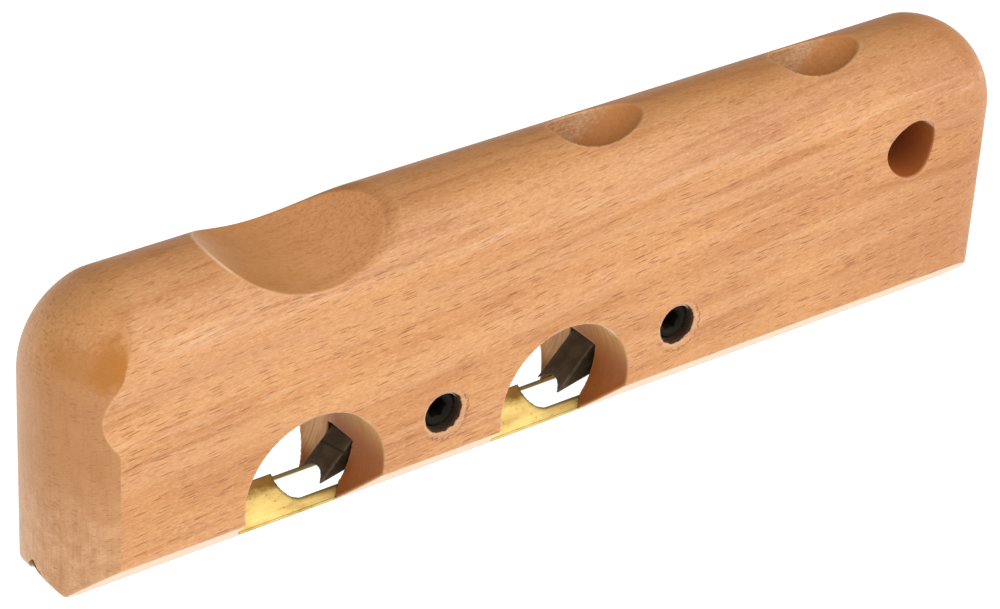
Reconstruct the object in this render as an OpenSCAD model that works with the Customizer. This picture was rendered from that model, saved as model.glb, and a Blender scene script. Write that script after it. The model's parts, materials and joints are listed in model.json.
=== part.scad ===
// Corner-rounding hand plane: beech stock, brass-lined vee sole, two square cutters at 45 degrees.
// Millimetres, +Z up, +X from nose to tail. Origin: middle of the sole, on the plane of its edges.

/* [Stock] */
// Overall length, nose to tail
stock_l = 234.4; // [180:0.2:300]
// Width across the flat sides
stock_w = 30.9; // [24:0.1:45]
// Overall height
stock_h = 64.0; // [50:0.5:80]
// Radius of the full-round ends, seen from above
end_r = 16.7; // [15.6:0.1:30]
// Radius of the full-round top, seen from the end
top_r = 14.9; // [12:0.1:15.4]
// Top corner radius at the nose, seen from the side
nose_r = 20.5; // [8:0.5:30]
// Top corner radius at the tail, seen from the side
tail_r = 19.5; // [8:0.5:30]
// Bottom corner radius at both ends
toe_r = 7.5; // [1:0.5:12]

/* [Side coves] */
// Height of the cove centre line
cove_z = 42.0; // [30:0.5:48]
// Cove radius
cove_r = 13.65; // [8:0.05:30]
// Cove depth below the flat side
cove_depth = 1.65; // [0.5:0.05:3]

/* [Vee sole] */
// Height of the 45 degree bevels along the bottom of the sides
bevel_h = 9.5; // [4:0.1:12]
// Thickness of the brass sheet
sheet_t = 0.7; // [0.5:0.1:2]
// Seating gap between brass and beech
seat_gap = 0.02; // [0:0.01:0.1]

/* [Mouths] */
// Mouth bore radius
mouth_r = 16.0; // [10:0.5:20]
// Height of the mouth bore centres
mouth_z = 12.4; // [6:0.1:20]
// Front mouth position
mouth_front_x = -63.5; // [-90:0.1:-40]
// Rear mouth position
mouth_rear_x = -2.8; // [-20:0.1:40]

/* [Cutters] */
// Side of the square cutter bar
bar_w = 7.0; // [4:0.1:10]
// Cutter bar length
bar_l = 63.5; // [40:0.5:75]
// Clearance between bar and mortise on the bed and on the far side
bar_gap = 0.08; // [0.02:0.01:0.1]
// Clearance on the side that the set screw pushes from
near_gap = 1.0; // [0.1:0.1:1.5]
// Clearance in front of the bar's rake face
rake_gap = 0.9; // [0.1:0.1:1.5]
// Cutting edge behind the front mouth centre
edge_front_dx = 9.1; // [6:0.1:12]
// Cutting edge behind the rear mouth centre
edge_rear_dx = 7.5; // [6:0.1:12]
// Height of the front cutting edge corners
edge_front_z = 2.9; // [1:0.1:6]
// Height of the rear cutting edge corners
edge_rear_z = 3.9; // [1:0.1:6]
// Radius the cutters leave on the work
round_r = 4.76; // [2:0.01:10]
// Clearance angle under the edge
relief_deg = 12; // [5:1:20]

/* [Cutter access recesses] */
// Recess radius
recess_r = 6.7; // [5:0.1:10]
// Recess depth along its own axis, from the top line
recess_depth = 8.5; // [4:0.5:10]
// Elevation of the recess axis
recess_deg = 39; // [35:1:45]
// Recess axis behind the cutter axis at the top line
recess_dx = 1.7; // [0:0.1:3]

/* [Set screws] */
// Set screw nominal diameter
screw_d = 8.0; // [5:0.5:10]
// Set screw length
screw_l = 10.0; // [6:0.5:12]
// Hexagon socket across flats
socket_af = 4.0; // [2.5:0.5:5]
// Socket depth
socket_depth = 4.0; // [2:0.5:6]
// Radial running clearance of the set screw in the beech
screw_gap = 0.06; // [0.02:0.01:0.1]
// Gap between set screw tip and cutter side
tip_gap = 0.03; // [0.01:0.01:0.2]
// Distance of the screw axis up the cutter from its edge corners
screw_up = 26.2; // [15:0.1:40]
// Radius of the chamfered rim of the screw hole
rim_r = 4.7; // [4.2:0.1:6]

/* [Thumb scoop and hanging hole] */
// Thumb scoop radius
scoop_r = 29.0; // [15:0.1:40]
// Thumb scoop position
scoop_x = -60.7; // [-80:0.1:-40]
// Thumb scoop depth below the top line
scoop_depth = 7.6; // [3:0.1:12]
// Slope of the thumb scoop down to the near side
scoop_deg = 5.5; // [0:0.5:8]
// Hanging hole radius
hang_r = 6.4; // [3:0.1:8]
// Hanging hole position
hang_x = 88.7; // [60:0.1:100]
// Hanging hole height
hang_z = 42.5; // [30:0.1:50]

/* [Sole screws] */
// Sole screw shank radius
sole_shank_r = 1.0; // [0.7:0.05:1.5]
// Sole screw head radius
sole_head_r = 2.1; // [1.5:0.05:2.8]
// Sole screw length
sole_screw_l = 9.0; // [6:0.5:12]
// Clearance round the sole screws
sole_gap = 0.03; // [0:0.01:0.1]

/* [Hidden] */
$fn = 72;
eps = 0.01;
over = 4;
// How far the mortise passes the recess floor, so that it opens all over
through = 0.7;
root2 = sqrt(2);
half_w = stock_w / 2;
half_l = stock_l / 2;
vee_half = half_w - bevel_h;
sheet_rise = sheet_t * root2;
hole_r = screw_d / 2 + screw_gap;
cove_y = half_w - cove_depth + cove_r;
// The corner surfaces stand this far outside the straight ones, so that they cross and never just touch
corner_out = 0.3;
// Half width and length of the slots in the brass
slot_r = 4.45;
slot_start = 0.1;
slot_end = 24.7;
// Hairline between the two leaves of the brass, along the fold
fold_seam = 0.02;
sole_station_x = [-98, -28, 38, 104];

// Lengthwise section: flat sides, coves and the full-round top, in Y and Z
module stock_section() {
  difference() {
    union() {
      translate([-half_w, 0])
        square([stock_w, cove_z]);
      translate([-top_r, cove_z - 1])
        square([2 * top_r, stock_h - top_r - cove_z + 1]);
      translate([0, stock_h - top_r])
        circle(top_r);
    }
    for (side = [-1, 1])
      translate([side * cove_y, cove_z])
        circle(cove_r);
    for (side = [-1, 1])
      bevel_section(side);
  }
}

// Waste outside one 45 degree bottom bevel
module bevel_section(side) {
  reach = bevel_h + over;
  polygon([[side * vee_half, 0], [side * (vee_half + reach), reach], [side * (half_w + over), reach],
           [side * (half_w + over), -over], [side * (vee_half - over), -over]]);
}

// Waste inside the vee, up to the given rise above the brass-free vee
module vee_waste(rise) {
  reach = vee_half + rise + over;
  rotate([90, 0, 90])
    translate([0, 0, -half_l - over])
      linear_extrude(stock_l + 2 * over)
        polygon([[-reach, -over], [reach, -over], [0, vee_half + rise]]);
}

// Plan with the two round ends, as tall as the stock and a little more
module plan_block() {
  translate([0, 0, -over])
    linear_extrude(stock_h + 2 * over)
      union() {
        for (side = [-1, 1])
          translate([side * (half_l - end_r), 0])
            circle(end_r);
        square([2 * (half_l - end_r), stock_w + 2 * over], center = true);
      }
}

// Waste outside one top corner, on the +X side: the end profile swept round the corner
module corner_waste(r) {
  ring = r + corner_out;
  reach = 1.5 * ring + over;
  translate([half_l - r, 0, stock_h - r])
    rotate([90, 0, 0])
      rotate_extrude(angle = 90)
        difference() {
          translate([ring - end_r, -half_w - over])
            square([reach - ring + end_r, stock_w + 2 * over]);
          translate([ring - end_r, 0])
            circle(end_r);
        }
}

// Waste outside one bottom corner, on the +X side
module toe_waste() {
  centre_x = half_l - toe_r + corner_out;
  translate([0, half_w + over, 0])
    rotate([90, 0, 0])
      linear_extrude(stock_w + 2 * over)
        difference() {
          translate([centre_x, -over])
            square([toe_r + over, toe_r + over]);
          translate([centre_x, toe_r - corner_out / 2])
            circle(toe_r);
        }
}

// Bar-shaped volume along a cutter axis. Local X runs up the cutter from its edge corners and
// local Z points to the rake face, which lies on local Z = 0.
module at_cutter(edge_x, edge_z) {
  translate([edge_x, 0, edge_z])
    rotate([0, -45, 0])
      children();
}

// Square hole for the bar, open to the mouth and through the floor of the access recess
module mortise(edge_x, edge_z) {
  axis_up = (stock_h - edge_z) * root2 + bar_w / 2;
  floor_up = axis_up + recess_dx / root2 - recess_depth;
  at_cutter(edge_x, edge_z)
    translate([-2 * over, -bar_w / 2 - near_gap, -bar_w - bar_gap])
      cube([floor_up + through + 2 * over, bar_w + near_gap + bar_gap, bar_w + rake_gap + bar_gap]);
}

// Round access recess, a little flatter than the cutter; its floor lies on the cutter axis
module recess(edge_x, edge_z) {
  axis_x = edge_x + bar_w / root2 + stock_h - edge_z + recess_dx;
  translate([axis_x, 0, stock_h])
    rotate([0, 90 - recess_deg, 0])
      translate([0, 0, -recess_depth])
        cylinder(r = recess_r, h = recess_depth + 3 * over);
}

// Set screw hole from the near side, with its worn rim
module screw_hole(edge_x, edge_z) {
  sx = screw_axis_x(edge_x);
  sz = screw_axis_z(edge_z);
  translate([sx, -half_w - over, sz])
    rotate([-90, 0, 0])
      cylinder(r = hole_r, h = half_w + over - bar_w / 2);
  rim_depth = rim_r - hole_r;
  translate([sx, -half_w - eps, sz])
    rotate([-90, 0, 0])
      cylinder(r1 = rim_r, r2 = hole_r, h = rim_depth);
}

function screw_axis_x(edge_x) = edge_x + (screw_up + bar_w / 2) / root2;
function screw_axis_z(edge_z) = edge_z + (screw_up - bar_w / 2) / root2;

// Places one sole screw: head on the lower face of a brass leg, shank square to it
module at_sole_screws() {
  for (x = sole_station_x)
    for (side = [-1, 1])
      translate([x, side * vee_half / 2, vee_half / 2])
        rotate([side * -45, 0, 0])
          children();
}

module sole_screw_body(extra) {
  head_h = sole_head_r - sole_shank_r;
  cylinder(r1 = sole_head_r + extra, r2 = sole_shank_r + extra, h = head_h, $fn = 36);
  cylinder(r = sole_shank_r + extra, h = sole_screw_l - 2 * sole_shank_r + extra, $fn = 36);
  translate([0, 0, sole_screw_l - 2 * sole_shank_r + extra])
    cylinder(r1 = sole_shank_r + extra, r2 = sole_shank_r / 4, h = 2 * sole_shank_r, $fn = 36);
}

module body() {
  color("burlywood")
    difference() {
      intersection() {
        rotate([90, 0, 90])
          translate([0, 0, -half_l - over])
            linear_extrude(stock_l + 2 * over)
              stock_section();
        plan_block();
      }
      vee_waste(sheet_rise + seat_gap);
      corner_waste(tail_r);
      mirror([1, 0, 0])
        corner_waste(nose_r);
      toe_waste();
      mirror([1, 0, 0])
        toe_waste();
      for (x = [mouth_front_x, mouth_rear_x])
        translate([x, half_w + over, mouth_z])
          rotate([90, 0, 0])
            cylinder(r = mouth_r, h = stock_w + 2 * over, $fn = 120);
      mortise(mouth_front_x + edge_front_dx, edge_front_z);
      mortise(mouth_rear_x + edge_rear_dx, edge_rear_z);
      recess(mouth_front_x + edge_front_dx, edge_front_z);
      recess(mouth_rear_x + edge_rear_dx, edge_rear_z);
      screw_hole(mouth_front_x + edge_front_dx, edge_front_z);
      screw_hole(mouth_rear_x + edge_rear_dx, edge_rear_z);
      translate([scoop_x, 0, stock_h - scoop_depth + scoop_r])
        rotate([90 + scoop_deg, 0, 0])
          cylinder(r = scoop_r, h = stock_w + 2 * over, center = true, $fn = 120);
      translate([hang_x, half_w + over, hang_z])
        rotate([90, 0, 0])
          cylinder(r = hang_r, h = stock_w + 2 * over);
      at_sole_screws()
        sole_screw_body(sole_gap);
    }
}

// Slot in the brass for one cutter, round at both ends
module sole_slot(mouth_x) {
  first = mouth_x + slot_start + slot_r;
  last = mouth_x + slot_end - slot_r;
  for (x = [first, last])
    translate([x, 0, -over])
      cylinder(r = slot_r, h = vee_half + 2 * over);
  translate([first, -slot_r, -over])
    cube([last - first, 2 * slot_r, vee_half + 2 * over]);
}

module sole_angle() {
  foot = sheet_t / root2;
  color("goldenrod")
    difference() {
      intersection() {
        rotate([90, 0, 90])
          translate([0, 0, -half_l - over])
            linear_extrude(stock_l + 2 * over)
              polygon([[-vee_half, 0], [0, vee_half], [vee_half, 0], [vee_half + foot, foot],
                       [0, vee_half + sheet_rise], [-vee_half - foot, foot]]);
        plan_block();
      }
      toe_waste();
      mirror([1, 0, 0])
        toe_waste();
      sole_slot(mouth_front_x);
      sole_slot(mouth_rear_x);
      translate([-half_l - over, -fold_seam / 2, -over])
        cube([stock_l + 2 * over, fold_seam, vee_half + 2 * over]);
      at_sole_screws()
        sole_screw_body(sole_gap);
    }
}

// Square bar with the relieved end and the hollow quarter-round edge
module cutter(edge_x, edge_z) {
  below = bar_w + 2 * over;
  difference() {
    at_cutter(edge_x, edge_z)
      translate([-over, -bar_w / 2, -bar_w])
        cube([bar_l + over, bar_w, bar_w]);
    translate([edge_x, 0, edge_z])
      rotate([0, -relief_deg, 0])
        translate([-2 * over, -bar_w, -below])
          cube([4 * bar_w, 2 * bar_w, below]);
    translate([edge_x, 0, edge_z])
      rotate([0, -relief_deg, 0])
        translate([-2 * over, 0, -round_r / root2])
          rotate([0, 90, 0])
            cylinder(r = round_r, h = 4 * bar_w);
  }
}

module front_cutter() {
  color("dimgray")
    cutter(mouth_front_x + edge_front_dx, edge_front_z);
}

module rear_cutter() {
  color("dimgray")
    cutter(mouth_rear_x + edge_rear_dx, edge_rear_z);
}

// Set screw along +Y from its outer face, hexagon socket outward
module set_screw(edge_x, edge_z) {
  chamfer = screw_d / 20;
  face_y = -bar_w / 2 - tip_gap - screw_l;
  socket_r = socket_af / sqrt(3);
  translate([screw_axis_x(edge_x), face_y, screw_axis_z(edge_z)])
    rotate([-90, 0, 0])
      difference() {
        union() {
          cylinder(r1 = screw_d / 2 - chamfer, r2 = screw_d / 2, h = chamfer);
          translate([0, 0, chamfer])
            cylinder(r = screw_d / 2, h = screw_l - 2 * chamfer);
          translate([0, 0, screw_l - chamfer])
            cylinder(r1 = screw_d / 2, r2 = screw_d / 2 - chamfer, h = chamfer);
        }
        translate([0, 0, -over])
          linear_extrude(socket_depth + over)
            polygon([for (corner = [0 : 5]) socket_r * [cos(60 * corner), sin(60 * corner)]]);
        translate([0, 0, -eps])
          cylinder(r1 = socket_r + chamfer / 2, r2 = socket_r - chamfer / 2, h = chamfer);
      }
}

module front_set_screw() {
  color("black")
    set_screw(mouth_front_x + edge_front_dx, edge_front_z);
}

module rear_set_screw() {
  color("black")
    set_screw(mouth_rear_x + edge_rear_dx, edge_rear_z);
}

// Eight countersunk brass screws holding the sole angle
module sole_screws() {
  drive_w = sole_shank_r / 2;
  color("goldenrod")
    at_sole_screws()
      difference() {
        sole_screw_body(0);
        translate([-drive_w / 2, -2 * sole_head_r, -drive_w])
          cube([drive_w, 4 * sole_head_r, 2 * drive_w]);
      }
}

body();
sole_angle();
front_cutter();
rear_cutter();
front_set_screw();
rear_set_screw();
sole_screws();
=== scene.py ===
import functools
import json
import math

import bpy
import numpy as np
from mathutils import Matrix, Vector


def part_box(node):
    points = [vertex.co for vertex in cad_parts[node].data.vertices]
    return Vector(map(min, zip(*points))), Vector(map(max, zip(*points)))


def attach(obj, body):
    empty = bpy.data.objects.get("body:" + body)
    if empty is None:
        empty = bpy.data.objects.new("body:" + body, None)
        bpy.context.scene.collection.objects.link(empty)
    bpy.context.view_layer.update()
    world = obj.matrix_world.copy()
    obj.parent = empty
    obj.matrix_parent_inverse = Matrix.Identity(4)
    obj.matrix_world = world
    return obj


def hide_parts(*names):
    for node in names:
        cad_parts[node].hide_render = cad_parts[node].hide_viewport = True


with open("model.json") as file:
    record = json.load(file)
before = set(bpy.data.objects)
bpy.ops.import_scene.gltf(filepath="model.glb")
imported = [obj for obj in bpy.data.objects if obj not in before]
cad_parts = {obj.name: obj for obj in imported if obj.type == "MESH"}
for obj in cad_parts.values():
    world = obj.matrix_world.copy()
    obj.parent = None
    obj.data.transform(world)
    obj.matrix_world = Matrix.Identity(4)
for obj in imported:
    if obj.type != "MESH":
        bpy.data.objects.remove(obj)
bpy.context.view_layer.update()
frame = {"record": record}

# ---------------------------------------------------------------- sizes, in millimetres
MM = 0.001
ROOT2 = math.sqrt(2)
stock_lo, stock_hi = (np.array(corner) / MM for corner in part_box("body"))
HALF_L = float(stock_hi[0] - stock_lo[0]) / 2
HALF_W = float(stock_hi[1] - stock_lo[1]) / 2
STOCK_H = float(stock_hi[2])
hang = next(m for m in frame["record"]["mounts"] if m["name"] == "hanging_hole")
HANG_X, HANG_Z = hang["pos_m"][0] / MM, hang["pos_m"][2] / MM
HANG_R = hang["dims"]["r_mm"]
SKIN = 0.03  # the visual surfaces stay this far inside the CAD box
EDGE_REACH = 0.7  # how far to every side the "edge" attribute looks for a bend

END_R, TOP_R, NOSE_R, TAIL_R, TOE_R = 16.7, 14.9, 20.5, 19.5, 7.5
COVE_Z, COVE_R, COVE_DEPTH = 42.0, 13.65, 1.65
BEVEL_H, SHEET_T, SEAT_GAP = 9.5, 0.7, 0.02
VEE = HALF_W - BEVEL_H
MOUTH_R, MOUTH_Z = 16.0, 12.4
BAR_W, ROUND_R, RELIEF = 7.0, 4.76, math.radians(12)
BED_GAP, NEAR_GAP, RAKE_GAP, THROUGH = 0.08, 1.0, 0.9, 0.7
RECESS_R, RECESS_DEPTH, RECESS_ANGLE, RECESS_DX = 6.7, 8.5, math.radians(39), 1.7
SCOOP_R, SCOOP_X, SCOOP_DEPTH, SCOOP_SLOPE = 29.0, -60.7, 7.6, math.radians(5.5)
SCOOP_Z = STOCK_H - SCOOP_DEPTH + SCOOP_R
SLOT_R, SLOT_START, SLOT_END = 4.45, 0.1, 24.7
SCREW_R, HOLE_R, RIM_R, SOCKET_AF, SOCKET_DEPTH = 4.0, 4.06, 4.7, 4.0, 4.0
SCREW_CHAMFER, THREAD_PITCH, THREAD_DEPTH = 0.4, 1.25, 0.558
LEAD_IN, LEAD_DEPTH = 0.45, 1.2
# How far each edge of the wood is rounded, and where the crease round the tail turns soft.
ROUND = {"side": 0.5, "cove": 1.0, "sole": 0.35, "toe": 0.5, "seat": 0.12, "mouth": 0.55,
         "mortise": 0.15, "recess": 0.5, "screw": 0.3, "scoop": 0.35, "hang": 0.6, "hang_far": 0.15}
CREASE_R, SOFT_CREASE_R, SOFT_X, SOFT_Z = 0.12, 2.4, (88, 96), (56, 50)
SOFT_SCOOP_R, SOFT_SCOOP_DX = 1.4, 18

# Round each cutter: the X of its mouth, the X and Z of its edge corners, its set screw's axis, outer
# face and length, the bar's own length, and the X where its recess's axis meets the top.
STATIONS = {}
for name, mouth_x, edge_dx, edge_z in (("front", -63.5, 9.1, 2.9), ("rear", -2.8, 7.5, 3.9)):
    low, high = (np.array(corner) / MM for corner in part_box(name + "_set_screw"))
    STATIONS[name] = {
        "mouth": mouth_x,
        "edge": (mouth_x + edge_dx, edge_z),
        "screw": (float(low[0] + high[0]) / 2, float(low[2] + high[2]) / 2),
        "face": float(low[1]),
        "length": float(high[1] - low[1]),
        "bar": float((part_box(name + "_cutter")[1][2] / MM - edge_z) * ROOT2),
        "recess": mouth_x + edge_dx + BAR_W / ROOT2 + STOCK_H - edge_z + RECESS_DX,
    }


# ---------------------------------------------------------------- solids as distance fields
def meet(a, b, r):
    """Intersection of two fields, its edge rounded to radius r."""
    return np.minimum(np.maximum(a, b), -r) + np.hypot(np.maximum(a + r, 0), np.maximum(b + r, 0))


def fade(value, start, end):
    """From 0 at the start to 1 at the end."""
    return np.clip((value - start) / (end - start), 0, 1)


def along_bar(x, z, edge):
    """Distance up a cutter from its edge corners, and out of its rake face."""
    dx, dz = x - edge[0], z - edge[1]
    return (dx + dz) / ROOT2, (dz - dx) / ROOT2


def in_recess(x, z, top_x):
    """Distance up a recess axis from the top line, and across it in the X-Z plane."""
    dx, dz = x - top_x, z - STOCK_H
    c, s = math.cos(RECESS_ANGLE), math.sin(RECESS_ANGLE)
    return dx * c + dz * s, dz * c - dx * s


def scoop_reach(x, y, z):
    """Distance from the thumb scoop's axis, which slopes down to the near side."""
    return np.hypot(x - SCOOP_X, (z - SCOOP_Z) * math.cos(SCOOP_SLOPE) - y * math.sin(SCOOP_SLOPE))


def toe_field(x, z):
    """Rounded lower corners at both ends."""
    near = HALF_L - SKIN - np.abs(x)
    return np.hypot(np.maximum(TOE_R - near, 0), np.maximum(TOE_R - z, 0)) - TOE_R


def round_end_field(x, y, z):
    """The full-round profile swept round the ends, top corners and top."""
    left, right, top = x + HALF_L - SKIN, HALF_L - SKIN - x, STOCK_H - SKIN - z
    inset = np.minimum(np.minimum(left, right), top)
    for side, r in ((left, NOSE_R), (right, TAIL_R)):
        corner = (side < r) & (top < r)
        inset = np.where(corner, r - np.hypot(r - side, r - top), inset)
    return np.where(inset < END_R, np.hypot(END_R - inset, y) - END_R, np.abs(y) - END_R)


def stock_field(x, y, z):
    """The wooden stock with its mouths, mortises, recesses, screw holes, scoop and hanging hole."""
    ay = np.abs(y)
    cove = COVE_R - np.hypot(ay - (HALF_W - COVE_DEPTH + COVE_R), z - COVE_Z)
    crown_z = STOCK_H - SKIN - TOP_R
    upper = np.where(z > crown_z, np.hypot(ay, z - crown_z), ay) - TOP_R
    lower = meet(ay - HALF_W + SKIN, cove, ROUND["side"])
    f = np.where(z < COVE_Z, lower, meet(upper, cove, ROUND["cove"]))
    # The crease round the nose is crisp, and the tail's is soft below the top corner.
    crease = CREASE_R + SOFT_CREASE_R * fade(x, *SOFT_X) * fade(z, *SOFT_Z)
    f = meet(f, round_end_field(x, y, z), crease)
    f = meet(f, (ay - VEE - z) / ROOT2, ROUND["sole"])
    f = meet(f, toe_field(x, z), ROUND["toe"])
    f = meet(f, (VEE + SHEET_T * ROOT2 + SEAT_GAP - z - ay) / ROOT2, ROUND["seat"])
    for s in STATIONS.values():
        f = meet(f, MOUTH_R - np.hypot(x - s["mouth"], z - MOUTH_Z), ROUND["mouth"])
        up, out = along_bar(x, z, s["edge"])
        floor_up = (STOCK_H - s["edge"][1]) * ROOT2 + BAR_W / 2 + RECESS_DX / ROOT2 - RECESS_DEPTH
        mortise = np.maximum.reduce([y - BAR_W / 2 - BED_GAP, -y - BAR_W / 2 - NEAR_GAP,
                                     out - RAKE_GAP, -out - BAR_W - BED_GAP,
                                     up - floor_up - THROUGH])
        f = meet(f, -mortise, ROUND["mortise"])
        depth, across = in_recess(x, z, s["recess"])
        recess = np.maximum(np.hypot(y, across) - RECESS_R, -depth - RECESS_DEPTH)
        f = meet(f, -recess, ROUND["recess"])
        reach = np.hypot(x - s["screw"][0], z - s["screw"][1])
        rim = np.clip(RIM_R - HOLE_R - (y + HALF_W), 0, None)
        hole = np.maximum(reach - HOLE_R - rim, y + BAR_W / 2)
        f = meet(f, -hole, ROUND["screw"])
    # The scoop's edge is crisp towards the nose and softened towards the tail.
    soft = ROUND["scoop"] + SOFT_SCOOP_R * fade(x - SCOOP_X, 0, SOFT_SCOOP_DX) ** 2
    f = meet(f, SCOOP_R - scoop_reach(x, y, z), soft)
    hang_round = np.where(y > 0, ROUND["hang_far"], ROUND["hang"])
    return meet(f, HANG_R - np.hypot(x - HANG_X, z - HANG_Z), hang_round)


def slot_field(x, y):
    """Both slots in the brass, round at their ends."""
    slots = []
    for s in STATIONS.values():
        first, last = s["mouth"] + SLOT_START + SLOT_R, s["mouth"] + SLOT_END - SLOT_R
        slots.append(np.hypot(x - np.clip(x, first, last), y) - SLOT_R)
    return np.minimum(*slots)


def brass_field(x, y, z):
    """The folded lining of the sole, with its slots."""
    ay = np.abs(y)
    under = (VEE - z - ay) / ROOT2
    f = meet(under, -under - SHEET_T, 0.12)
    f = meet(f, (ay - VEE - z) / ROOT2, 0.3)
    f = meet(f, round_end_field(x, y, z), 0.15)
    f = meet(f, toe_field(x, z), 0.15)
    return meet(f, -slot_field(x, y), 0.12)


def bar_field(length):
    def field(x, y, z):
        """Local frame: X up the bar, Z out of the rake face."""
        half = BAR_W / 2
        f = meet(np.abs(y) - half + SKIN, np.abs(z + half) - half + SKIN, 0.28)
        f = meet(f, x - length + SKIN, 0.3)
        # The relief plane and the hollow run 45 degrees plus the relief off the bar.
        along = x * math.cos(math.pi / 4 - RELIEF) - z * math.sin(math.pi / 4 - RELIEF)
        rise = x * math.sin(math.pi / 4 - RELIEF) + z * math.cos(math.pi / 4 - RELIEF)
        f = meet(f, -rise, 0.02)
        return meet(f, ROUND_R - np.hypot(y, rise + ROUND_R / ROOT2), 0.02)
    return field


def set_screw_field(length):
    def field(x, y, z):
        """Local frame: Z into the stock from the outer face."""
        r = np.hypot(x, y)
        turn = np.arctan2(y, x) / (2 * math.pi)
        phase = np.abs(((z / THREAD_PITCH - turn) % 1.0) - 0.5) * 2
        major = SCREW_R - SKIN
        f = r - major + THREAD_DEPTH * (1 - phase)
        f = meet(f, r - major + SCREW_CHAMFER - np.minimum(z, length - z), 0.1)
        f = meet(f, -z, 0.12)
        f = meet(f, z - length, 0.12)
        flats = [np.abs(x * math.cos(a) + y * math.sin(a)) for a in np.radians((30, 90, 150))]
        hexagon = np.maximum.reduce(flats) - SOCKET_AF / 2
        lead = r - SOCKET_AF / math.sqrt(3) - LEAD_IN + z
        socket = np.minimum(np.maximum(hexagon, z - SOCKET_DEPTH), np.maximum(lead, z - LEAD_DEPTH))
        return meet(f, -socket, 0.08)
    return field


def sole_screw_field(x, y, z):
    """Local frame: Z into the stock from the head's face."""
    r = np.hypot(x, y)
    head, shank, length = 2.1 - SKIN, 1.0 - SKIN, 9.0 - SKIN
    thread_from, thread_depth, pitch, tip_from, tip_h = 2.5, 0.22, 0.9, 7, 2
    half_slot, slot_depth = 0.25, 0.45
    turn = np.arctan2(y, x) / (2 * math.pi)
    thread = thread_depth * np.abs(((z / pitch - turn) % 1.0) - 0.5)
    cone = (r - head + z) / ROOT2
    rod = np.maximum(r - shank + np.where(z > thread_from, thread, 0), z - length + tip_h)
    tip = (r - np.clip(length - z, 0, 1.99) / 2) * 0.9
    f = np.minimum(np.minimum(cone, rod), np.maximum(tip, tip_from - z))
    f = meet(f, -z + SKIN, 0.05)
    return meet(f, half_slot - np.maximum(np.abs(x), z - slot_depth + half_slot), 0.03)


def grid_lines(*spans):
    """Grid lines over (start, end, step) spans that follow each other."""
    parts = [np.linspace(a, b, max(2, round((b - a) / step) + 1))[:-1] for a, b, step in spans]
    return np.concatenate(parts + [[spans[-1][1]]])


def gradient(field, p, h):
    """A field's slope at points p, from steps of h to either side."""
    g = np.empty_like(p)
    for k in range(3):
        d = np.zeros(3)
        d[k] = h
        g[:, k] = (field(*(p + d).T) - field(*(p - d).T)) / (2 * h)
    return g


def surface(field, xs, ys, zs):
    """Points, outward normals and quads of the zero surface of a field over a grid of lines."""
    f = field(*np.meshgrid(xs, ys, zs, indexing="ij"))
    solid = f < 0
    shape = [n - 1 for n in f.shape]
    corners = [(i, j, k) for i in (0, 1) for j in (0, 1) for k in (0, 1)]

    def at(grid, c):
        return grid[c[0]:c[0] + shape[0], c[1]:c[1] + shape[1], c[2]:c[2] + shape[2]]

    # One point in each cell that the surface crosses: the mean of the crossings on its edges.
    count = sum(at(solid, c).astype(np.int8) for c in corners)
    cell = np.argwhere((count > 0) & (count < 8))
    index = np.full(shape, -1)
    index[tuple(cell.T)] = np.arange(len(cell))
    total, hits = np.zeros((len(cell), 3)), np.zeros(len(cell))
    for a in corners:
        for axis in range(3):
            if a[axis]:
                continue
            b = list(a)
            b[axis] = 1
            ia, ib = cell + a, cell + b
            fa, fb = f[tuple(ia.T)], f[tuple(ib.T)]
            cross = (fa < 0) != (fb < 0)
            t = np.where(cross, fa / np.where(cross, fa - fb, 1), 0)[:, None]
            pa = np.stack([xs[ia[:, 0]], ys[ia[:, 1]], zs[ia[:, 2]]], 1)
            pb = np.stack([xs[ib[:, 0]], ys[ib[:, 1]], zs[ib[:, 2]]], 1)
            total += np.where(cross[:, None], pa + t * (pb - pa), 0)
            hits += cross
    points = total / hits[:, None]
    step = min(np.diff(xs).min(), np.diff(ys).min(), np.diff(zs).min())
    # Newton steps bring the points onto the surface, each by less than half a cell.
    for _ in range(3):
        g = gradient(field, points, step / 20)
        size = np.maximum((g * g).sum(1), 0.05)
        move = field(*points.T)[:, None] * g / size[:, None]
        far = np.maximum(np.linalg.norm(move, axis=1) / (0.4 * step), 1)[:, None]
        points = points - move / far
    normals = gradient(field, points, step / 6)
    normals /= np.maximum(np.linalg.norm(normals, axis=1), 1e-9)[:, None]
    # One quad round each grid edge that has its ends on different sides of the surface.
    quads = []
    for axis in range(3):
        u, v = (axis + 1) % 3, (axis + 2) % 3
        here = np.moveaxis(solid, (axis, u, v), (0, 1, 2))
        cells = np.moveaxis(index, (axis, u, v), (0, 1, 2))
        edge = np.argwhere(here[:-1, 1:-1, 1:-1] != here[1:, 1:-1, 1:-1])
        i, j, k = edge[:, 0], edge[:, 1] + 1, edge[:, 2] + 1
        ring = [cells[i, j - 1, k - 1], cells[i, j, k - 1], cells[i, j, k], cells[i, j - 1, k]]
        ring = np.stack(ring, 1)
        ring[~here[i, j, k]] = ring[~here[i, j, k]][:, ::-1]
        quads.append(ring)
    return points, normals, np.concatenate(quads)


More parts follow.
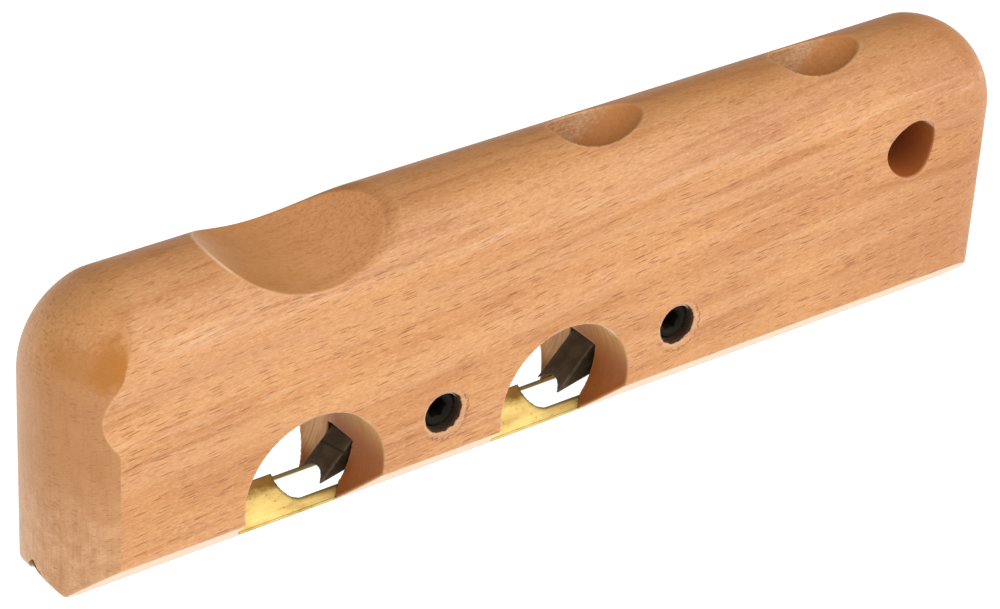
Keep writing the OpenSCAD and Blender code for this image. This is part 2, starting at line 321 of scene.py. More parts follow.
def build(name, field, lines, body, node, material, place=(Matrix.Identity(4),), extra=None):
    """One piece from a field, repeated at each place, riding on a body in place of a CAD node."""
    points, normals, quads = surface(field, *lines)
    # The "edge" attribute is how sharply the surface bends outwards, seen over EDGE_REACH.
    bend = sum(field(*(points + d).T) for d in EDGE_REACH * np.vstack([np.eye(3), -np.eye(3)]))
    edge = np.clip(bend / (2 * EDGE_REACH), 0, 1)
    all_points, all_normals, all_quads = [], [], []
    for m in place:
        m = np.array(m)
        all_quads.append(quads + len(points) * len(all_quads))
        all_points.append(points @ m[:3, :3].T + m[:3, 3])
        all_normals.append(normals @ m[:3, :3].T)
    verts = np.concatenate(all_points)
    mesh = bpy.data.meshes.new(name)
    mesh.from_pydata((verts * MM).tolist(), [], np.concatenate(all_quads).tolist())
    mesh.polygons.foreach_set("use_smooth", [True] * len(mesh.polygons))
    mesh.normals_split_custom_set_from_vertices(np.concatenate(all_normals).tolist())
    values = {"edge": np.tile(edge, len(place))}
    if extra:
        values.update(extra(*verts.T))
    for key, value in values.items():
        attribute = mesh.attributes.new(key, "FLOAT", "POINT")
        attribute.data.foreach_set("value", value.astype(np.float32))
    mesh.materials.append(material)
    piece = bpy.data.objects.new(name, mesh)
    bpy.context.scene.collection.objects.link(piece)
    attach(piece, body)
    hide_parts(node)
    return piece


# ---------------------------------------------------------------- looks
# Colours, from their screen values.
def rgb(r, g, b):
    """Linear colour from 0 to 255 screen values."""
    return tuple(((c / 255 + 0.055) / 1.055) ** 2.4 for c in (r, g, b)) + (1.0,)


BEECH_LIGHT, BEECH_DARK = rgb(202, 149, 103), rgb(187, 130, 82)
BEECH_RING, BEECH_GOLD, BEECH_RAY = rgb(168, 108, 60), rgb(206, 151, 95), rgb(124, 58, 12)
# Painted light: pale bevels, edge highlights and sheen; the pale specks in the grain share the edge
# highlight's colour.
PALE_SPECK_AND_EDGE_HIGHLIGHT, PAINTED_BEVEL_LIGHT, PAINTED_SHEEN = rgb(222, 178, 138), rgb(240, 216, 192), rgb(238, 204, 172)
# The crown's brown is painted shade, and the growth line uses it too.
AMBER, CROWN_SHADE_AND_GROWTH_BROWN = rgb(168, 104, 34), rgb(158, 98, 42)
END_LIGHT, END_DARK, END_PORE = rgb(208, 162, 122), rgb(186, 138, 97), rgb(158, 104, 62)
END_ORANGE, END_TOP, PAINTED_END_LIGHT = rgb(172, 119, 69), rgb(226, 167, 110), rgb(226, 192, 162)
# The bores are painted dark low down and light high up; the holes are painted dark inside as painted
# shadow.
BORE_SHADED_LOW, BORE_LIT_HIGH = rgb(138, 72, 12), rgb(226, 184, 116)
BORE_STREAK, BORE_FAR = rgb(138, 86, 40), rgb(232, 190, 140)
HANG_GRAIN_AND_SHADE, HOLE_SHADOW = rgb(152, 82, 34), rgb(24, 15, 8)
# The scoop's brown and pink are painted shade and light.
SCOOP_SHADE_BROWN, SCOOP_LIT_PINK = rgb(166, 110, 44), rgb(222, 156, 104)
WORN_TAN, WORN_LINE = rgb(206, 162, 126), rgb(126, 72, 36)
# The recesses' pale tones are partly painted light, and their crescent is painted shade.
CUP_LIGHT, CUP_DARK, CUP_CRESCENT_SHADE = rgb(206, 166, 126), rgb(180, 134, 94), rgb(190, 118, 52)
BRASS_LIGHT, BRASS_DEEP = rgb(205, 183, 118), rgb(191, 162, 92)
BRASS_AMBER, BRASS_BROWN, BRASS_OLIVE = rgb(160, 110, 50), rgb(112, 74, 26), rgb(92, 80, 42)
STEEL_DARK, STEEL_BROWN = rgb(58, 48, 34), rgb(76, 65, 48)
# The worn steel's colour also serves as a painted edge highlight.
STEEL_WORN_AND_HIGHLIGHT, STEEL_OXIDE = rgb(112, 102, 88), rgb(17, 14, 9)

# Where the marks on the wood lie, in millimetres: a pair is where a mark begins and where it is in
# full, and the growth line's spans are the ends of the straight line that it wavers about.
GRAIN_TILT = math.radians(5)
TAIL_BROWN_X = (70.0, 112.0)
SHOULDER_Z, SHOULDER_NOSE_X, SHOULDER_TAIL_X = 54.0, (-103.5, -100.0), (-66.0, -96.0)
THREAD_Z, THREAD_X = 36.5, (-50.0, -64.0)
GROWTH_SPAN_X, GROWTH_SPAN_Z, GROWTH_X = (40.0, 120.0), (37.0, 35.0), (60.0, 92.0)
END_GRAIN_X = (HALF_L - TAIL_R - 6.0, HALF_L - TAIL_R)
END_ORANGE_Z, END_TOP_Z = (12.0, 34.0), (44.0, 58.0)
# Each amber spot high on the nose: its centre, how much it is squashed along each axis, its strength.
AMBER_SPOTS = (((-109.5, -10.5, 53.0), (0.5, 0.6, 1.4), 0.52),
               ((-105.5, -13.5, 53.0), (0.85, 0.85, 1.1), 0.68))
BORE_LIGHT_Z, BORE_FAR_Y, BORE_FAR_Z = (11.0, 27.0), (0.0, 6.0), (2.0, 6.0)
CUP_LOWEST_Z, CRESCENT_NEAR, CRESCENT_FAR = 50.0, (3.8, 5.6), (9.0, 8.0)
SCOOP_PINK_X, LIP_X = (SCOOP_X - 16.0, SCOOP_X + 14.0), (SCOOP_X, SCOOP_X - 8.0)
LIP_Z, CROWN_Y = (60.0, 62.5), (-9.0, 6.0)
# The worn ring's radius and its centre from the screw's axis, and how deep a screw's marks go.
WORN_R, WORN_DX, WORN_DZ, SCREW_FACE = 5.5, 0.35, -0.6, 3.0
SHARP_TAIL_X = (90.0, 96.0)


# ---------------------------------------------------------------- materials
class Shader:
    """A material's nodes, written as calls; an input takes a number, a tuple or a node's socket."""

    def __init__(self, name):
        self.material = bpy.data.materials.new(name)
        self.material.use_nodes = True
        self.tree = self.material.node_tree
        self.base = self.tree.nodes["Principled BSDF"]

    def put(self, socket, value):
        if isinstance(value, bpy.types.NodeSocket):
            self.tree.links.new(value, socket)
        else:
            socket.default_value = value

    def node(self, kind, out=0, props=None, **inputs):
        """A new node's output; an input is named, with _ for a space, or is i and its number."""
        n = self.tree.nodes.new("ShaderNode" + kind)
        for key, value in (props or {}).items():
            setattr(n, key, value)
        for key, value in inputs.items():
            socket = int(key[1:]) if key[1:].isdigit() else key.replace("_", " ")
            self.put(n.inputs[socket], value)
        return n.outputs[out]

    def math(self, operation, a, b=0.0):
        return self.node("Math", props={"operation": operation}, i0=a, i1=b)

    def fold(self, operation, values):
        """One operation over any number of values."""
        return functools.reduce(lambda a, b: self.math(operation, a, b), values)

    def times(self, *values):
        return self.fold("MULTIPLY", values)

    def plus(self, a, b):
        return self.math("ADD", a, b)

    def minus(self, a, b):
        return self.math("SUBTRACT", a, b)

    def highest(self, *values):
        return self.fold("MAXIMUM", values)

    def gap(self, a, b):
        """How far apart two values are."""
        return self.math("ABSOLUTE", self.minus(a, b))

    def attribute(self, name):
        return self.node("Attribute", out="Fac", props={"attribute_name": name})

    def place(self, turn=0.0):
        """Object position in millimetres, turned about Y."""
        where = self.node("TexCoord", out="Object")
        return self.node("Mapping", Vector=where, Scale=(1 / MM,) * 3, Rotation=(0, turn, 0))

    def vector(self, operation, a, b=(0, 0, 0), out=0):
        return self.node("VectorMath", out=out, props={"operation": operation}, i0=a, i1=b)

    def dot(self, a, b):
        return self.vector("DOT_PRODUCT", a, b, out="Value")

    def split(self, vector):
        """A vector's X, Y and Z."""
        return [self.node("SeparateXYZ", out=k, Vector=vector) for k in range(3)]

    def noise(self, where, scale, detail=3.0, rough=0.5, out=0):
        return self.node("TexNoise", out=out, Vector=self.vector("MULTIPLY", where, scale), Scale=1.0,
                         Detail=detail, Roughness=rough)

    def radius(self, where, centre, across_a, across_b):
        """Distance from a cylinder's axis, from two unit vectors square to it."""
        off = self.vector("SUBTRACT", where, centre)
        a, b = self.dot(off, across_a), self.dot(off, across_b)
        return self.math("SQRT", self.plus(self.times(a, a), self.times(b, b)))

    def ramp(self, value, low, high, to_low=0.0, to_high=1.0, smooth=True):
        """From to_low where the value is low to to_high where it is high, and level beyond."""
        kind = "SMOOTHSTEP" if smooth else "LINEAR"
        return self.node("MapRange", props={"interpolation_type": kind}, i0=value, i1=low, i2=high,
                         i3=to_low, i4=to_high)

    def mix(self, factor, a, b):
        """Two colours mixed: a Mix node takes them at inputs 6 and 7, and gives output 2."""
        return self.node("Mix", out=2, props={"data_type": "RGBA"}, i0=factor, i6=a, i7=b)

    def layered(self, colour, *coats):
        """A colour with coats over it, each of them a factor and a colour."""
        for factor, coat in coats:
            colour = self.mix(factor, colour, coat)
        return colour

    def dashes(self, where, cell, low, high, kept):
        """Short rays along the grain: one spindle in each kept cell, low to high in relative size."""
        cells = self.vector("MULTIPLY", where, cell)
        near = self.node("TexVoronoi", out="Distance", Vector=cells, Scale=1.0)
        pick = self.node("TexVoronoi", out="Color", Vector=cells, Scale=1.0)
        pick = self.node("SeparateColor", Color=pick)
        size = self.ramp(pick, kept, 1.0, low, high, smooth=False)
        inside = self.ramp(self.minus(near, size), -0.06, 0.01, 1.0, 0.0)
        return self.times(inside, self.math("GREATER_THAN", pick, kept))

    def bump(self, height, distance, strength):
        self.put(self.base.inputs["Normal"],
                 self.node("Bump", Height=height, Distance=distance * MM, Strength=strength))

    def set(self, **inputs):
        for key, value in inputs.items():
            self.put(self.base.inputs[key.replace("_", " ")], value)


class Beech(Shader):
    """The stock's wood: each method below lays one kind of mark over the colour so far."""

    def __init__(self):
        super().__init__("beech")
        self.flat = self.place()
        self.along, self.depth, self.height = self.split(self.flat)
        self.ahead, self.sideways, self.upward = self.split(self.node("TexCoord", out="Normal"))
        tilted = self.place(turn=GRAIN_TILT)
        sway = self.noise(tilted, (0.012, 0.03, 0.03), detail=2, out=1)
        sway = self.vector("MULTIPLY", self.vector("SUBTRACT", sway, (0.5, 0.5, 0.5)), (0, 3.0, 6.0))
        self.grain = self.vector("ADD", tilted, sway)
        self.bands = self.noise(self.grain, (0.004, 0.16, 0.14), detail=4, rough=0.6)
        self.fibre = self.noise(self.grain, (0.16, 3.6, 3.6), detail=4, rough=0.75)
        self.mottle = self.noise(self.flat, (0.2, 0.35, 0.35), detail=4, rough=0.7)
        self.colour = self.mix(self.ramp(self.bands, 0.36, 0.66), BEECH_LIGHT, BEECH_DARK)

    def coat(self, factor, colour):
        self.colour = self.mix(factor, self.colour, colour)

    def reach(self, x, z):
        """Distance from an axis across the stock."""
        return self.radius(self.flat, (x, 0, z), (1, 0, 0), (0, 0, 1))

    def long_grain(self):
        """Rings, fibres and mealy specks, and short dark rays, which it returns for the relief."""
        rings = self.noise(self.grain, (0.008, 0.40, 0.42), detail=5, rough=0.7)
        patch = self.noise(self.flat, (0.03, 0.06, 0.08), detail=3, rough=0.6)
        mealy = self.noise(self.grain, (0.9, 2.6, 2.6), detail=3, rough=0.8)
        self.coat(self.ramp(rings, 0.48, 0.64, 0.0, 0.7), BEECH_RING)
        self.coat(self.ramp(patch, 0.40, 0.62, 0.0, 0.5), BEECH_GOLD)
        self.coat(self.ramp(self.fibre, 0.44, 0.74, 0.0, 0.5), BEECH_RING)
        # Browner towards the tail.
        self.coat(self.ramp(self.along, *TAIL_BROWN_X, 0.0, 0.6), BEECH_RING)
        self.coat(self.ramp(mealy, 0.46, 0.70, 0.0, 0.42), BEECH_RING)
        self.coat(self.ramp(mealy, 0.50, 0.28, 0.0, 0.35), PALE_SPECK_AND_EDGE_HIGHLIGHT)
        large = self.dashes(self.grain, (0.16, 1.0, 2.5), 0.17, 0.31, 0.15)
        small = self.dashes(self.grain, (0.30, 1.7, 3.8), 0.12, 0.30, 0.25)
        rays = self.highest(large, self.times(small, 0.5))
        rays = self.times(rays, self.ramp(self.upward, 0.25, 0.75, 1.0, 0.5))
        self.coat(self.times(rays, 0.62), BEECH_RAY)
        return rays

    def painted_sheen(self):
        """Painted highlight: a dull sheen on the shoulder behind the nose, fainter along the rest of the
        side, and in broken threads below the cove.
        """
        wisps = self.ramp(self.noise(self.grain, (0.04, 1.2, 1.2)), 0.42, 0.66)
        shoulder = self.times(self.ramp(self.gap(self.height, SHOULDER_Z), 3.0, 0.3),
                              self.ramp(self.along, *SHOULDER_NOSE_X),
                              self.ramp(self.along, *SHOULDER_TAIL_X, 0.6, 1.0),
                              self.ramp(wisps, 0.0, 1.0, 0.06, 0.30))
        thread = self.times(self.ramp(self.gap(self.height, THREAD_Z), 1.0, 0.3), wisps,
                            self.ramp(self.along, *THREAD_X, 0.0, 0.2))
        self.coat(self.highest(shoulder, thread), PAINTED_SHEEN)

    def growth_line(self):
        """A brown growth line under the hanging hole, wavering with the bands of the grain."""
        line_z = self.ramp(self.along, *GROWTH_SPAN_X, *GROWTH_SPAN_Z, smooth=False)
        waver = self.ramp(self.bands, 0.3, 0.7, -1.0, 1.0, smooth=False)
        off = self.plus(self.gap(self.height, line_z), waver)
        line = self.times(self.ramp(off, 1.8, 0.2), self.ramp(self.along, *GROWTH_X, 0.0, 0.55))
        self.coat(line, CROWN_SHADE_AND_GROWTH_BROWN)

    def end_grain(self):
        """The round nose and tail, right up to where they meet the flat sides."""
        ends = self.times(self.ramp(self.math("ABSOLUTE", self.ahead), 0.31, 0.37),
                          self.ramp(self.math("ABSOLUTE", self.along), *END_GRAIN_X))
        upright = self.noise(self.flat, (1.2, 1.8, 0.12), detail=4, rough=0.7)
        pores = self.noise(self.flat, (1.2, 1.2, 3.6), detail=4, rough=0.8)
        flecks = self.dashes(self.flat, (0.45, 0.45, 2.2), 0.17, 0.34, 0.35)
        wood = self.layered(self.mix(self.ramp(self.mottle, 0.30, 0.72), END_LIGHT, END_DARK),
                            (self.ramp(self.height, *END_ORANGE_Z, 0.0, 0.85), END_ORANGE),
                            # Painted light: paler where the nose turns towards the far side.
                            (self.ramp(self.sideways, -0.3, 0.4, 0.0, 0.45), PAINTED_END_LIGHT),
                            (self.ramp(self.height, *END_TOP_Z, 0.0, 0.55), END_TOP),
                            (self.ramp(upright, 0.46, 0.66, 0.0, 0.35), END_PORE),
                            (self.ramp(pores, 0.44, 0.68, 0.0, 0.42), END_PORE),
                            (self.times(flecks, 0.35), BEECH_RAY))
        # The nose shows its end grain, and the tail only a hint of it.
        self.coat(self.times(ends, self.ramp(self.along, -1.0, 1.0, 0.85, 0.1)), wood)
        spread = self.ramp(self.mottle, 0.3, 0.7, -2.0, 2.0, smooth=False)
        for centre, squash, strength in AMBER_SPOTS:
            off = self.vector("MULTIPLY", self.vector("SUBTRACT", self.flat, centre), squash)
            off = self.plus(self.vector("LENGTH", off, out="Value"), spread)
            self.coat(self.times(self.ramp(off, 7.5, 3.0, 0.0, strength), ends), AMBER)

    def bores(self):
        """The walls of the mouths, streaked by the layers of the wood, and of the hanging hole; their
        darker tones are partly end grain and partly painted shade, and the mouths' walls are painted
        lighter higher up, as light falls from above.
        """
        layers = self.noise(self.flat, (0.10, 1.5, 0.10), detail=4, rough=0.7)
        # Paler on the far wall, a little above the bottom.
        far_wall = self.times(self.ramp(self.depth, *BORE_FAR_Y, 0.0, 0.8),
                              self.ramp(self.height, *BORE_FAR_Z))
        # Painted light and shade: dark low on the walls, light high up.
        wall = self.layered(self.mix(self.ramp(self.height, *BORE_LIGHT_Z), BORE_SHADED_LOW, BORE_LIT_HIGH),
                            (far_wall, BORE_FAR),
                            (self.ramp(layers, 0.38, 0.64, 0.0, 0.5), BORE_STREAK))
        mouths = [self.ramp(self.reach(v["mouth"], MOUTH_Z), MOUTH_R + 0.25, MOUTH_R + 0.05)
                  for v in STATIONS.values()]
        self.coat(self.times(self.highest(*mouths), 0.92), wall)
        # The hanging hole's brown is partly end grain and partly painted shade.
        hole = self.ramp(self.reach(HANG_X, HANG_Z), HANG_R + 0.35, HANG_R + 0.1)
        self.coat(self.times(hole, 0.92), HANG_GRAIN_AND_SHADE)

    def square_holes(self):
        """The square holes for the cutters are painted dark inside: painted shadow in the gaps round the
        bars.
        """
        half_y, half_out = (BAR_W + NEAR_GAP + BED_GAP) / 2, (BAR_W + RAKE_GAP + BED_GAP) / 2
        for v in STATIONS.values():
            off = self.vector("SUBTRACT", self.flat, (v["edge"][0], 0, v["edge"][1]))
            out = self.gap(self.dot(off, (-1 / ROOT2, 0, 1 / ROOT2)), RAKE_GAP - half_out)
            side = self.gap(self.depth, (BED_GAP - NEAR_GAP) / 2)
            box = self.highest(self.minus(out, half_out), self.minus(side, half_y))
            self.coat(self.ramp(box, 0.22, 0.02, 0.0, 0.9), HOLE_SHADOW)

    def recesses(self):
        """Rough, scraped floors and walls, their pale tones partly the rough cut and partly painted light,
        with a smooth brown crescent of painted shade behind each.
        """
        c, n = math.cos(RECESS_ANGLE), math.sin(RECESS_ANGLE)
        cups, crescent_shades = [], []
        for v in STATIONS.values():
            top = (v["recess"], 0, STOCK_H)
            reach = self.radius(self.flat, top, (0, 1, 0), (-n, 0, c))
            cups.append(self.ramp(reach, RECESS_R + 0.35, RECESS_R + 0.05))
            # Painted shade: a crescent where the wall turns from the light.
            back = self.dot(self.vector("SUBTRACT", self.flat, top), (n, 0, -c))
            crescent_shades.append(self.times(self.ramp(back, *CRESCENT_NEAR), self.ramp(back, *CRESCENT_FAR)))
        cup = self.times(self.math("GREATER_THAN", self.height, CUP_LOWEST_Z), self.highest(*cups))
        rough_cut = self.noise(self.flat, (0.9, 0.9, 1.4), detail=5, rough=0.75)
        scrapes = self.noise(self.flat, (0.3, 2.4, 2.4), detail=4, rough=0.7)
        wall = self.layered(self.mix(self.ramp(rough_cut, 0.38, 0.64), CUP_LIGHT, CUP_DARK),
                            (self.ramp(scrapes, 0.46, 0.62, 0.0, 0.55), BEECH_RING),
                            (self.times(self.highest(*crescent_shades), 0.75), CUP_CRESCENT_SHADE))
        self.coat(self.times(cup, 0.9), wall)
        return cup, rough_cut

    def thumb_scoop(self):
        """Painted shade and light: browner towards the nose, where the floor turns from the light, and
        pinker towards the tail, where it faces it, with a painted highlight along its worn top lip.
        """
        reach = self.radius(self.flat, (SCOOP_X, 0, SCOOP_Z), (1, 0, 0),
                            (0, -math.sin(SCOOP_SLOPE), math.cos(SCOOP_SLOPE)))
        scoop = self.ramp(reach, SCOOP_R + 0.3, SCOOP_R + 0.02)
        speck = self.noise(self.flat, (0.9, 2.2, 2.2), detail=3, rough=0.7)
        # Painted shade and light across the floor.
        wall = self.layered(self.mix(self.ramp(self.along, *SCOOP_PINK_X), SCOOP_SHADE_BROWN, SCOOP_LIT_PINK),
                            (self.ramp(speck, 0.46, 0.68, 0.0, 0.7), BEECH_RING))
        self.coat(self.times(scoop, 0.62), wall)
        # Painted highlight along the worn top lip.
        lip = self.times(self.ramp(reach, SCOOP_R + 0.04, SCOOP_R + 0.15),
                         self.ramp(reach, SCOOP_R + 0.7, SCOOP_R + 0.3),
                         self.ramp(self.along, *LIP_X), self.ramp(self.height, *LIP_Z))
        self.coat(self.times(lip, 0.5), PAINTED_SHEEN)
        return scoop

    def crown_shade(self, cut):
        """Painted shade: the top is browner where it turns from the light, right along its far side, but
        not where it is cut.
        """
        crown_shade = self.times(self.ramp(self.upward, 0.45, 0.9), self.ramp(self.depth, *CROWN_Y, 0.0, 0.42),
                           self.minus(1.0, cut))
        self.coat(crown_shade, CROWN_SHADE_AND_GROWTH_BROWN)

    def screw_holes(self):
        """Each set screw's hole is painted dark to its rim as painted shadow, with a worn, ragged ring low
        on its right.
        """
        ragged = self.noise(self.flat, (0.8, 0.8, 0.8), detail=4, rough=0.7)
        ragged = self.ramp(ragged, 0.3, 0.7, -0.7, 0.7, smooth=False)
        crumbs = self.noise(self.flat, (0.9, 0.9, 0.9), detail=3)
        hole_shadows = []
        for v in STATIONS.values():
            x, z = v["screw"]
            near = self.math("LESS_THAN", self.depth, v["face"] + SCREW_FACE)
            ring = self.plus(self.reach(x + WORN_DX, z + WORN_DZ), ragged)
            inside = self.times(near, self.ramp(ring, WORN_R + 0.15, WORN_R - 0.15))
            low_right = self.minus(self.minus(self.along, self.height), x - z)
            line = self.times(near, self.ramp(ring, WORN_R - 0.4, WORN_R),
                              self.ramp(ring, WORN_R + 0.4, WORN_R),
                              self.ramp(low_right, -2.0, 4.0, 0.2, 1.0))
            self.coat(self.times(inside, self.ramp(crumbs, 0.35, 0.6, 0.1, 0.35)), WORN_TAN)
            self.coat(self.times(line, self.ramp(crumbs, 0.65, 0.35, 0.4, 0.9)), WORN_LINE)
            # Painted shadow inside the hole, out to its rim.
            rim = self.plus(self.reach(x, z), self.times(ragged, 0.25))
            hole_shadows.append(self.times(near, self.ramp(rim, RIM_R - 0.10, RIM_R - 0.35)))
            self.coat(self.times(hole_shadows[-1], 0.95), HOLE_SHADOW)
        return self.highest(*hole_shadows)

    def painted_bevel_and_edge_light(self, unlit):
        """Painted light: the bottom bevels are paler, as if lit from the white floor, and the rounded edges
        carry a painted highlight, except round the tail.
        """
        # Painted light from the floor on the downward bevels.
        self.coat(self.ramp(self.upward, -0.5, -0.68, 0.0, 0.65), PAINTED_BEVEL_LIGHT)
        # Painted highlight on the rounded edges.
        edge = self.times(self.ramp(self.attribute("edge"), 0.22, 0.6),
                          self.ramp(self.along, *SHARP_TAIL_X, 0.16, 0.0), self.minus(1.0, unlit))
        self.coat(edge, PALE_SPECK_AND_EDGE_HIGHLIGHT)


def beech():
    """All the wood's marks in their order, then its gloss and relief."""
    s = Beech()
    rays = s.long_grain()
    s.painted_sheen()
    s.growth_line()
    s.end_grain()
    s.bores()
    s.square_holes()
    cup, rough_cut = s.recesses()
    scoop = s.thumb_scoop()
    s.crown_shade(s.highest(cup, scoop))
    unlit = s.screw_holes()
    s.painted_bevel_and_edge_light(unlit)
    s.set(Base_Color=s.colour, Specular_IOR_Level=0.30,
          Roughness=s.highest(s.ramp(s.fibre, 0.2, 0.8, 0.38, 0.54), unlit))
    relief = s.minus(s.times(s.fibre, 0.6), s.times(rays, 0.8))
    s.bump(s.plus(relief, s.times(cup, rough_cut, 3.0)), 0.06, 0.7)
    return s.material


def brass():
    """Streaked yellow brass with amber clouds and olive spots of tarnish."""
    s = Shader("brass")
    where = s.place()
    side, height = s.split(where)[1:]
    streak = s.noise(where, (0.03, 4.0, 4.0), detail=4, rough=0.6)
    cloud = s.noise(where, (0.16, 0.35, 0.35), detail=5, rough=0.65)
    spots = s.noise(where, (1.2, 1.2, 1.2), detail=4, rough=0.75)
    # Tarnish gathers along the fold, an olive line runs above the foot, and the slots' cut edges are dull.
    fold = s.plus(height, s.ramp(cloud, 0.3, 0.7, -0.8, 0.8, smooth=False))
    foot = s.minus(s.plus(height, VEE), s.math("ABSOLUTE", side))
    line = s.times(s.ramp(foot, 0.3, 0.6), s.ramp(foot, 0.95, 0.65))
    colour = s.layered(s.mix(s.ramp(streak, 0.2, 0.8, 0.2, 0.8), BRASS_LIGHT, BRASS_DEEP),
                       (s.times(s.ramp(cloud, 0.50, 0.74), 0.3), BRASS_AMBER),
                       (s.times(s.ramp(spots, 0.56, 0.68), 0.5), BRASS_OLIVE),
                       (s.ramp(fold, VEE - 2.2, VEE + 0.1, 0.0, 0.9), BRASS_BROWN),
                       (s.times(line, 0.55), BRASS_OLIVE),
                       (s.times(s.attribute("rim"), 0.85), BRASS_OLIVE))
    s.set(Base_Color=colour, Metallic=0.9, Roughness=s.ramp(cloud, 0.3, 0.7, 0.46, 0.58))
    s.bump(s.plus(s.times(streak, 0.2), spots), 0.03, 0.5)
    return s.material


def dark_steel(name, oxide, metallic, rough, specular):
    """Worn dark steel under a share of black oxide, its edges lighter partly from wear and partly from a
    painted highlight; the "line" attribute is black as well.
    """
    s = Shader(name)
    where = s.place()
    grain = s.noise(where, (1.6, 1.6, 1.6), detail=5, rough=0.7)
    cloud = s.noise(where, (0.25, 0.25, 0.25), detail=3)
    # Lighter edges: partly wear, partly a painted highlight.
    worn_and_highlight = s.times(s.attribute("edge"), s.ramp(grain, 0.35, 0.6), 0.6)
    colour = s.layered(s.mix(s.ramp(cloud, 0.35, 0.65), STEEL_DARK, STEEL_BROWN),
                       (worn_and_highlight, STEEL_WORN_AND_HIGHLIGHT),
                       (s.highest(s.attribute("line"), oxide), STEEL_OXIDE))
    s.set(Base_Color=colour, Metallic=metallic, Roughness=s.ramp(grain, 0.3, 0.7, rough, rough + 0.16),
          Specular_IOR_Level=specular)
    s.bump(grain, 0.02, 0.5)
    return s.material


BEECH, BRASS = beech(), brass()
BAR_STEEL = dark_steel("black_steel", oxide=0.0, metallic=0.3, rough=0.36, specular=0.4)
SCREW_STEEL = dark_steel("black_oxide", oxide=0.92, metallic=0.0, rough=0.6, specular=0.1)

# ---------------------------------------------------------------- the pieces
# Grids are (from, to, step) spans along each axis, with close lines where there is detail.
fine = 1.0
stock_lines = (
    grid_lines((-117.8, -104, 0.5 * fine), (-104, -84, 1.5 * fine), (-84, -2, 0.55 * fine),
               (-2, 28, 0.36 * fine), (28, 33, 0.55 * fine), (33, 58, 1.5 * fine), (58, 86, 0.36 * fine),
               (86, 97, 0.55 * fine), (97, 104, 1.0 * fine), (104, 117.8, 0.5 * fine)),
    grid_lines((-15.9, -12.5, 0.42 * fine), (-12.5, 12.5, 0.5 * fine), (12.5, 15.9, 0.42 * fine)),
    grid_lines((-0.2, 11, 0.45 * fine), (11, 54, 0.58 * fine), (54, 64.5, 0.36 * fine)),
)
build("stock", stock_field, stock_lines, "stock", "body", BEECH)

brass_spans = [(-117.6, -111, 0.35)]
for s in STATIONS.values():
    slot_from, slot_to = s["mouth"] + SLOT_START - 1, s["mouth"] + SLOT_END + 1
    brass_spans += [(brass_spans[-1][1], slot_from, 1.6), (slot_from, slot_to, 0.3)]
brass_spans += [(brass_spans[-1][1], 111, 1.6), (111, 117.6, 0.35)]
build("sole_lining", brass_field,
      (grid_lines(*brass_spans), grid_lines((-6.9, 6.9, 0.2)), grid_lines((-0.25, 7.4, 0.2))),
      "stock", "sole_angle", BRASS,
      extra=lambda x, y, z: {"rim": np.exp(-np.maximum(slot_field(x, y) - 0.3, 0) / 0.2)})


def slant_dark_line(x, y, z):
    """A dark line that crosses the front bar's rake face at a slant."""
    line_up, slant, width, rake_skin = 7.55, 0.157, 0.2, 0.3
    up, out = along_bar(x, z, STATIONS["front"]["edge"])
    return {"line": np.exp(-((up - line_up + slant * y) / width) ** 2) * (out > -rake_skin)}


LEAN_BACK, INTO_SIDE = Matrix.Rotation(-math.pi / 4, 4, "Y"), Matrix.Rotation(-math.pi / 2, 4, "X")
for name, s in STATIONS.items():
    bar, screw = s["bar"], s["length"]
    place = Matrix.Translation((s["edge"][0], 0, s["edge"][1])) @ LEAN_BACK
    build(name + "_bar", bar_field(bar),
          (grid_lines((-0.3, 13, 0.2), (13, bar - 1, 2.0), (bar - 1, bar + 0.2, 0.2)),
           grid_lines((-3.8, 3.8, 0.2)), grid_lines((-7.3, 0.3, 0.2))),
          name + "_cutter", name + "_cutter", BAR_STEEL, (place,),
          extra=slant_dark_line if name == "front" else None)
    place = Matrix.Translation((s["screw"][0], s["face"], s["screw"][1])) @ INTO_SIDE
    build(name + "_grub_screw", set_screw_field(screw),
          (grid_lines((-4.2, 4.2, 0.18)),) * 2 + (grid_lines((-0.3, screw + 0.3, 0.18)),),
          name + "_set_screw", name + "_set_screw", SCREW_STEEL, (place,))

# The lining's countersunk screws, in pairs square to its two leaves.
PAIR_XS = (-98, -28, 38, 104)
places = [Matrix.Translation((x, side * VEE / 2, VEE / 2)) @ Matrix.Rotation(side * -math.pi / 4, 4, "X")
          for x in PAIR_XS for side in (-1, 1)]
build("lining_screws", sole_screw_field,
      (grid_lines((-2.3, 2.3, 0.15)),) * 2 + (grid_lines((-0.2, 1.4, 0.12), (1.4, 9.2, 0.2)),),
      "stock", "sole_screws", BRASS, places)

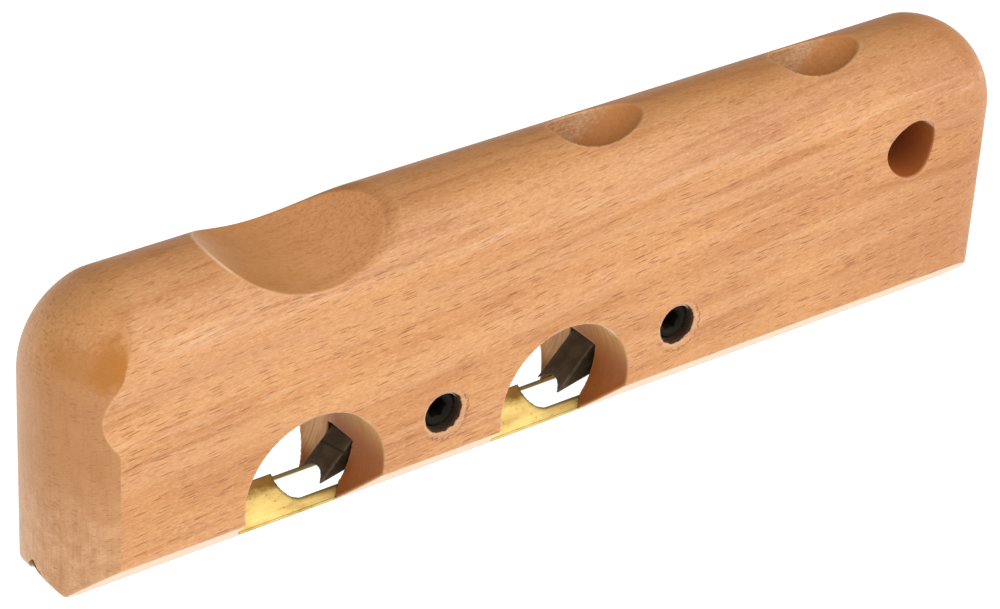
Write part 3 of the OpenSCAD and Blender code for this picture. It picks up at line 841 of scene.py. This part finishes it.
# ---------------------------------------------------------------- floor, light and camera
FLOOR_HALF, FLOOR_Z = 4.0, -0.0003
ground = bpy.data.meshes.new("floor")
floor_corners = [(x * FLOOR_HALF, y * FLOOR_HALF, FLOOR_Z) for x, y in ((-1, -1), (1, -1), (1, 1), (-1, 1))]
ground.from_pydata(floor_corners, [], [(0, 1, 2, 3)])
floor = bpy.data.objects.new("floor", ground)
bpy.context.scene.collection.objects.link(floor)
# Grey paper that glows a little, so that it is white in the picture.
paper = Shader("paper")
paper.set(Base_Color=(0.25, 0.25, 0.25, 1), Roughness=0.9, Specular_IOR_Level=0.0,
          Emission_Color=(1, 1, 1, 1), Emission_Strength=1.05)
ground.materials.append(paper.material)

# A dim, warm light from all round.
world = bpy.data.worlds.new("studio")
bpy.context.scene.world = world
world.use_nodes = True
sky = world.node_tree.nodes["Background"]
sky.inputs["Color"].default_value = (1.0, 0.91, 0.76, 1)
sky.inputs["Strength"].default_value = 0.40


def lamp(name, direction, distance, size, power):
    """A square soft light that faces the middle of the plane."""
    light = bpy.data.lights.new(name, "AREA")
    light.size, light.energy = size, power
    o = bpy.data.objects.new(name, light)
    back = Vector(direction).normalized()
    o.rotation_euler = back.to_track_quat("Z", "Y").to_euler()
    o.location = back * distance + Vector((0, 0, STOCK_MIDDLE))
    bpy.context.scene.collection.objects.link(o)


STOCK_MIDDLE = 0.03
lamp("key", (0.53, -0.66, 0.53), distance=1.8, size=1.8, power=33)
lamp("fill", (-0.9, -0.35, 0.5), distance=1.5, size=1.0, power=8)

# The photograph's camera: its lens, its three directions and where it stands.
camera = bpy.data.objects.new("camera", bpy.data.cameras.new("camera"))
camera.data.sensor_width = 36.0
camera.data.lens = 125.79
right = (0.79660, -0.60213, 0.05354)
up = (0.27466, 0.43941, 0.85527)
ahead = (0.53851, 0.66660, -0.51541)
spot = (-0.38597, -0.46701, 0.38900)
rows = [(right[i], up[i], -ahead[i], spot[i]) for i in range(3)]
camera.matrix_world = Matrix(rows + [(0, 0, 0, 1)])
bpy.context.scene.collection.objects.link(camera)
bpy.context.scene.camera = camera
bpy.context.scene.view_settings.view_transform = "Standard"
